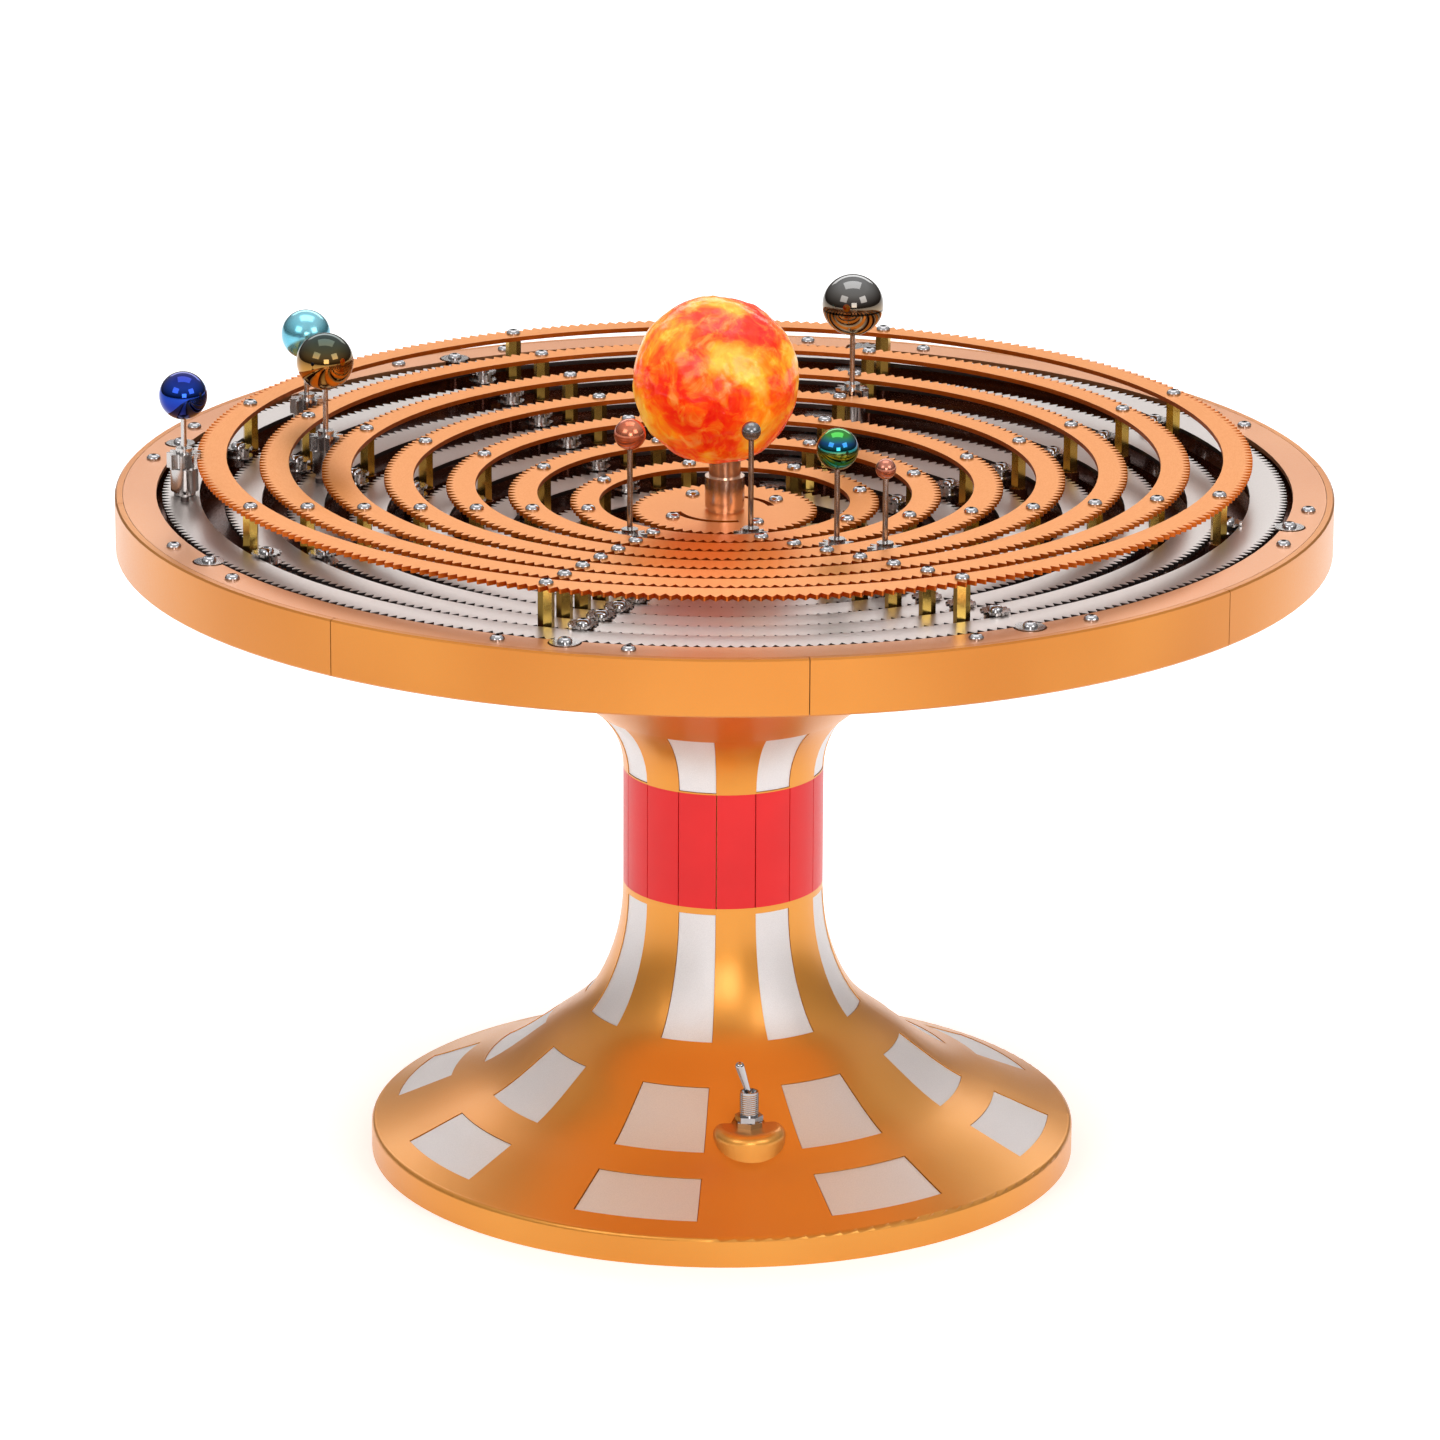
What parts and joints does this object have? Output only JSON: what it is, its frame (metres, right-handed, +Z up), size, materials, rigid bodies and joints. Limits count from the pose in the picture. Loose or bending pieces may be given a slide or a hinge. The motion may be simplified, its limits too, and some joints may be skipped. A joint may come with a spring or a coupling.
{
  "type": "orrery",
  "caption": "Table-top orrery: sun and planets on toothed orbit rings in a round table, on a trumpet foot with a switch",
  "frame": {"origin": "middle of the underside of the foot, on the surface it stands on", "axes": "+Z up along the foot's axis; -Y is the front, where the switch is; +X is to the right seen from the front"},
  "size_m": [0.4, 0.4, 0.2923],
  "materials": {
    "copper_shell": "satin anodised, orange gold",
    "rose_plate": "satin rose gold",
    "silver_inlay": "fine frosted silver",
    "cover": "matt dark",
    "red_panels": "satin red",
    "chrome_screws": "bright",
    "deck_plate": "dark brown copper",
    "brass_standoffs": "turned brass",
    "steel_rollers": "turned steel",
    "rose_post": "satin rose gold",
    "sun_resin": "mottled orange-red resin",
    "chrome_switch": "bright plated",
    "motor_steel": "plain",
    "battery_plastic": "matt black",
    "belts": "matt black",
    "shaft_steel": "ground",
    "copper_track": "satin copper, orange teeth",
    "steel_ring": "satin",
    "steel_spindle": "turned",
    "mercury_ball": "grey polished",
    "venus_ball": "copper-red pearl",
    "earth_ball": "green-blue mirror lacquer",
    "mars_ball": "rose-copper pearl",
    "jupiter_ball": "dark olive-brown mirror",
    "saturn_ball": "gold-green-brown mirror",
    "uranus_ball": "light-blue satin",
    "neptune_ball": "deep-blue mirror lacquer"
  },
  "bodies": {
    "stand": {"base_shell": "copper_shell", "silver_inlays": "silver_inlay", "base_cover": "cover", "red_band": "red_panels", "neck_flare": "copper_shell", "table_floor": "cover", "rim_wall": "copper_shell", "rim_plate": "rose_plate", "cap_screws": "chrome_screws", "deck": "deck_plate", "standoffs": "brass_standoffs", "guide_rollers": "steel_rollers", "sun_post": "rose_post", "sun_globe": "sun_resin", "switch_body": "chrome_switch", "gear_motor": "motor_steel", "battery_box": "battery_plastic", "drive_belts": "belts", "mercury_track": "copper_track", "venus_track": "copper_track", "earth_track": "copper_track", "mars_track": "copper_track", "jupiter_track": "copper_track", "saturn_track": "copper_track", "uranus_track": "copper_track", "neptune_track": "copper_track"},
    "mercury_orbit": {"mercury_orbit_ring": "steel_ring"},
    "mercury_planet": {"mercury_spindle": "steel_spindle", "mercury_ball": "mercury_ball"},
    "mercury_drive": {"mercury_drive_shaft": "shaft_steel"},
    "venus_orbit": {"venus_orbit_ring": "steel_ring"},
    "venus_planet": {"venus_spindle": "steel_spindle", "venus_ball": "venus_ball"},
    "venus_drive": {"venus_drive_shaft": "shaft_steel"},
    "earth_orbit": {"earth_orbit_ring": "steel_ring"},
    "earth_planet": {"earth_spindle": "steel_spindle", "earth_ball": "earth_ball"},
    "earth_drive": {"earth_drive_shaft": "shaft_steel"},
    "mars_orbit": {"mars_orbit_ring": "steel_ring"},
    "mars_planet": {"mars_spindle": "steel_spindle", "mars_ball": "mars_ball"},
    "mars_drive": {"mars_drive_shaft": "shaft_steel"},
    "jupiter_orbit": {"jupiter_orbit_ring": "steel_ring"},
    "jupiter_planet": {"jupiter_spindle": "steel_spindle", "jupiter_ball": "jupiter_ball"},
    "jupiter_drive": {"jupiter_drive_shaft": "shaft_steel"},
    "saturn_orbit": {"saturn_orbit_ring": "steel_ring"},
    "saturn_planet": {"saturn_spindle": "steel_spindle", "saturn_ball": "saturn_ball"},
    "saturn_drive": {"saturn_drive_shaft": "shaft_steel"},
    "uranus_orbit": {"uranus_orbit_ring": "steel_ring"},
    "uranus_planet": {"uranus_spindle": "steel_spindle", "uranus_ball": "uranus_ball"},
    "uranus_drive": {"uranus_drive_shaft": "shaft_steel"},
    "neptune_orbit": {"neptune_orbit_ring": "steel_ring"},
    "neptune_planet": {"neptune_spindle": "steel_spindle", "neptune_ball": "neptune_ball"},
    "neptune_drive": {"neptune_drive_shaft": "shaft_steel"},
    "main_drive": {"main_shaft": "shaft_steel"},
    "switch": {"switch_lever": "chrome_switch"}
  },
  "joints": [
    {"name": "mercury_orbit_turn", "type": "hinge", "parent": "stand", "child": "mercury_orbit", "pos_m": [0, 0, 0.2087], "axis": [0, 0, 1], "continuous": true},
    {"name": "mercury_planet_turn", "type": "hinge", "parent": "mercury_orbit", "child": "mercury_planet", "pos_m": [0.0085, -0.03359, 0.2137], "axis": [0, 0, 1], "continuous": true},
    {"name": "mercury_drive_turn", "type": "hinge", "parent": "stand", "child": "mercury_drive", "pos_m": [0.01196, 0.04463, 0.2037], "axis": [0, 0, 1], "continuous": true},
    {"name": "venus_orbit_turn", "type": "hinge", "parent": "stand", "child": "venus_orbit", "pos_m": [0, 0, 0.2116], "axis": [0, 0, 1], "continuous": true},
    {"name": "venus_planet_turn", "type": "hinge", "parent": "venus_orbit", "child": "venus_planet", "pos_m": [-0.0306, -0.0457, 0.2166], "axis": [0, 0, 1], "continuous": true},
    {"name": "venus_drive_turn", "type": "hinge", "parent": "stand", "child": "venus_drive", "pos_m": [0.01722, 0.06428, 0.2066], "axis": [0, 0, 1], "continuous": true},
    {"name": "earth_orbit_turn", "type": "hinge", "parent": "stand", "child": "earth_orbit", "pos_m": [0, 0, 0.2145], "axis": [0, 0, 1], "continuous": true},
    {"name": "earth_planet_turn", "type": "hinge", "parent": "earth_orbit", "child": "earth_planet", "pos_m": [0.03595, -0.06622, 0.2195], "axis": [0, 0, 1], "continuous": true},
    {"name": "earth_drive_turn", "type": "hinge", "parent": "stand", "child": "earth_drive", "pos_m": [0.02249, 0.08394, 0.2095], "axis": [0, 0, 1], "continuous": true},
    {"name": "mars_orbit_turn", "type": "hinge", "parent": "stand", "child": "mars_orbit", "pos_m": [0, 0, 0.2174], "axis": [0, 0, 1], "continuous": true},
    {"name": "mars_planet_turn", "type": "hinge", "parent": "mars_orbit", "child": "mars_planet", "pos_m": [0.05114, -0.08089, 0.2224], "axis": [0, 0, 1], "continuous": true},
    {"name": "mars_drive_turn", "type": "hinge", "parent": "stand", "child": "mars_drive", "pos_m": [0.02776, 0.1036, 0.2124], "axis": [0, 0, 1], "continuous": true},
    {"name": "jupiter_orbit_turn", "type": "hinge", "parent": "stand", "child": "jupiter_orbit", "pos_m": [0, 0, 0.2203], "axis": [0, 0, 1], "continuous": true},
    {"name": "jupiter_planet_turn", "type": "hinge", "parent": "jupiter_orbit", "child": "jupiter_planet", "pos_m": [0.04347, 0.1076, 0.2253], "axis": [0, 0, 1], "continuous": true},
    {"name": "jupiter_drive_turn", "type": "hinge", "parent": "stand", "child": "jupiter_drive", "pos_m": [0.03303, 0.12325, 0.2153], "axis": [0, 0, 1], "continuous": true},
    {"name": "saturn_orbit_turn", "type": "hinge", "parent": "stand", "child": "saturn_orbit", "pos_m": [0, 0, 0.2232], "axis": [0, 0, 1], "continuous": true},
    {"name": "saturn_planet_turn", "type": "hinge", "parent": "saturn_orbit", "child": "saturn_planet", "pos_m": [-0.13263, 0.03184, 0.2282], "axis": [0, 0, 1], "continuous": true},
    {"name": "saturn_drive_turn", "type": "hinge", "parent": "stand", "child": "saturn_drive", "pos_m": [0.03829, 0.14291, 0.2182], "axis": [0, 0, 1], "continuous": true},
    {"name": "uranus_orbit_turn", "type": "hinge", "parent": "stand", "child": "uranus_orbit", "pos_m": [0, 0, 0.2261], "axis": [0, 0, 1], "continuous": true},
    {"name": "uranus_planet_turn", "type": "hinge", "parent": "uranus_orbit", "child": "uranus_planet", "pos_m": [-0.14089, 0.06871, 0.2311], "axis": [0, 0, 1], "continuous": true},
    {"name": "uranus_drive_turn", "type": "hinge", "parent": "stand", "child": "uranus_drive", "pos_m": [0.04356, 0.16257, 0.2211], "axis": [0, 0, 1], "continuous": true},
    {"name": "neptune_orbit_turn", "type": "hinge", "parent": "stand", "child": "neptune_orbit", "pos_m": [0, 0, 0.229], "axis": [0, 0, 1], "continuous": true},
    {"name": "neptune_planet_turn", "type": "hinge", "parent": "neptune_orbit", "child": "neptune_planet", "pos_m": [-0.17667, -0.01235, 0.234], "axis": [0, 0, 1], "continuous": true},
    {"name": "neptune_drive_turn", "type": "hinge", "parent": "stand", "child": "neptune_drive", "pos_m": [0.04883, 0.18222, 0.224], "axis": [0, 0, 1], "continuous": true},
    {"name": "main_shaft_turn", "type": "hinge", "parent": "stand", "child": "main_drive", "pos_m": [0, 0, 0.17], "axis": [0, 0, 1], "continuous": true},
    {"name": "switch_throw", "type": "hinge", "parent": "stand", "child": "switch", "pos_m": [0.0089, -0.07246, 0.0426], "axis": [0.1219, -0.9925, 0], "range_deg": [-34, 0]}
  ],
  "couplings": [
    {"joint": "mercury_orbit_turn", "follows": "neptune_orbit_turn", "ratio": 8.6783},
    {"joint": "mercury_planet_turn", "follows": "neptune_orbit_turn", "ratio": 52.07},
    {"joint": "mercury_drive_turn", "follows": "neptune_orbit_turn", "ratio": -72.319},
    {"joint": "venus_orbit_turn", "follows": "neptune_orbit_turn", "ratio": 5.283},
    {"joint": "venus_planet_turn", "follows": "neptune_orbit_turn", "ratio": 53.417},
    {"joint": "venus_drive_turn", "follows": "neptune_orbit_turn", "ratio": -65.745},
    {"joint": "earth_orbit_turn", "follows": "neptune_orbit_turn", "ratio": 3.6101},
    {"joint": "earth_planet_turn", "follows": "neptune_orbit_turn", "ratio": 51.344},
    {"joint": "earth_drive_turn", "follows": "neptune_orbit_turn", "ratio": -59.768},
    {"joint": "mars_orbit_turn", "follows": "neptune_orbit_turn", "ratio": 2.6291},
    {"joint": "mars_planet_turn", "follows": "neptune_orbit_turn", "ratio": 48.2},
    {"joint": "mars_drive_turn", "follows": "neptune_orbit_turn", "ratio": -54.334},
    {"joint": "jupiter_orbit_turn", "follows": "neptune_orbit_turn", "ratio": 1.9935},
    {"joint": "jupiter_planet_turn", "follows": "neptune_orbit_turn", "ratio": 44.743},
    {"joint": "jupiter_drive_turn", "follows": "neptune_orbit_turn", "ratio": -49.395},
    {"joint": "saturn_orbit_turn", "follows": "neptune_orbit_turn", "ratio": 1.5544},
    {"joint": "saturn_planet_turn", "follows": "neptune_orbit_turn", "ratio": 41.278},
    {"joint": "saturn_drive_turn", "follows": "neptune_orbit_turn", "ratio": -44.904},
    {"joint": "uranus_orbit_turn", "follows": "neptune_orbit_turn", "ratio": 1.237},
    {"joint": "uranus_planet_turn", "follows": "neptune_orbit_turn", "ratio": 37.936},
    {"joint": "uranus_drive_turn", "follows": "neptune_orbit_turn", "ratio": -40.822},
    {"joint": "neptune_planet_turn", "follows": "neptune_orbit_turn", "ratio": 34.778},
    {"joint": "neptune_drive_turn", "follows": "neptune_orbit_turn", "ratio": -37.111},
    {"joint": "main_shaft_turn", "follows": "neptune_orbit_turn", "ratio": -79.551}
  ]
}
